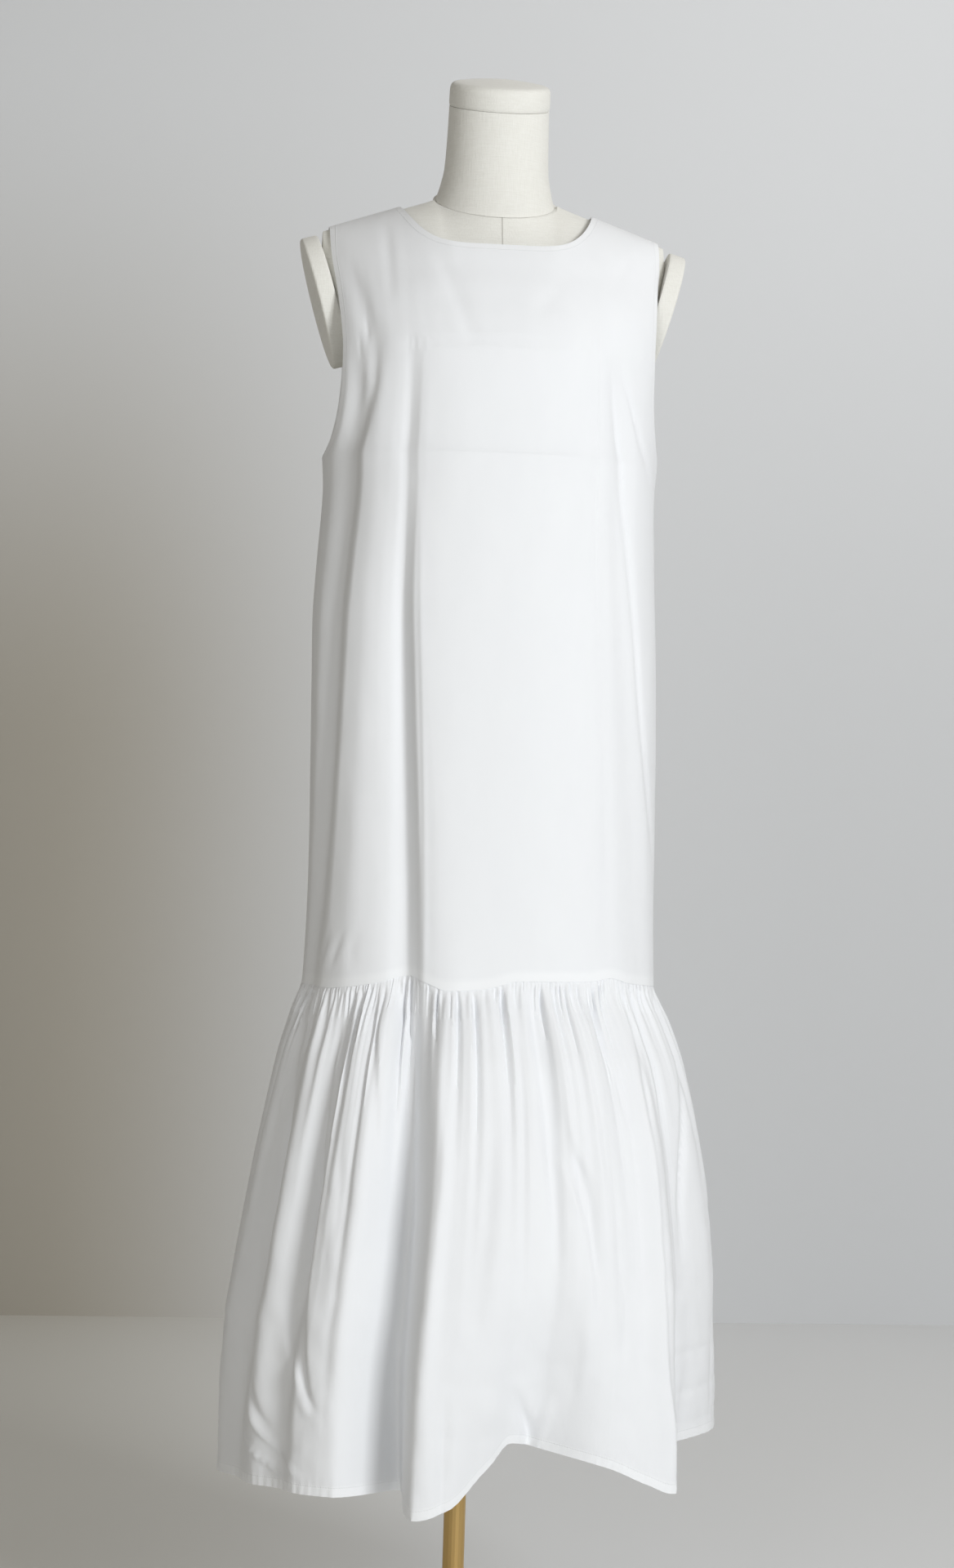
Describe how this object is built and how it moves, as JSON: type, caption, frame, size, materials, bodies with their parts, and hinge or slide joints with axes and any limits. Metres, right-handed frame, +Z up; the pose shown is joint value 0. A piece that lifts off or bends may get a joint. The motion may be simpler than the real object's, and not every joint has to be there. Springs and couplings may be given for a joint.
{
  "type": "sleeveless dress and dress form",
  "caption": "Long sleeveless dress with a gathered hem flounce that rises in an arch, standing on a limbless dress form with a pole and round foot.",
  "frame": {"origin": "centre of the foot's flat underside, on the axis of the form's pole", "axes": "+Z up along the pole, the dress's front faces -Y, +X is to the right in a front view"},
  "size_m": [0.5034, 0.4971, 1.6035],
  "materials": {
    "front_body": "matt crisp cotton poplin",
    "back_body": "matt crisp cotton poplin",
    "front_flounce": "matt crisp cotton poplin, gathered",
    "back_flounce": "matt crisp cotton poplin, gathered",
    "form_torso": "natural linen cover",
    "form_neck": "natural linen cover",
    "form_neck_cap": "natural linen cover",
    "form_arm_plate_left": "natural linen cover",
    "form_arm_plate_right": "natural linen cover",
    "form_pole": "satin brass tube",
    "form_foot": "satin brass"
  },
  "bodies": {
    "root": {"front_body": "front_body", "back_body": "back_body", "front_flounce": "front_flounce", "back_flounce": "back_flounce", "form_torso": "form_torso", "form_neck": "form_neck", "form_neck_cap": "form_neck_cap", "form_arm_plate_left": "form_arm_plate_left", "form_arm_plate_right": "form_arm_plate_right", "form_pole": "form_pole", "form_foot": "form_foot"}
  },
  "joints": []
}
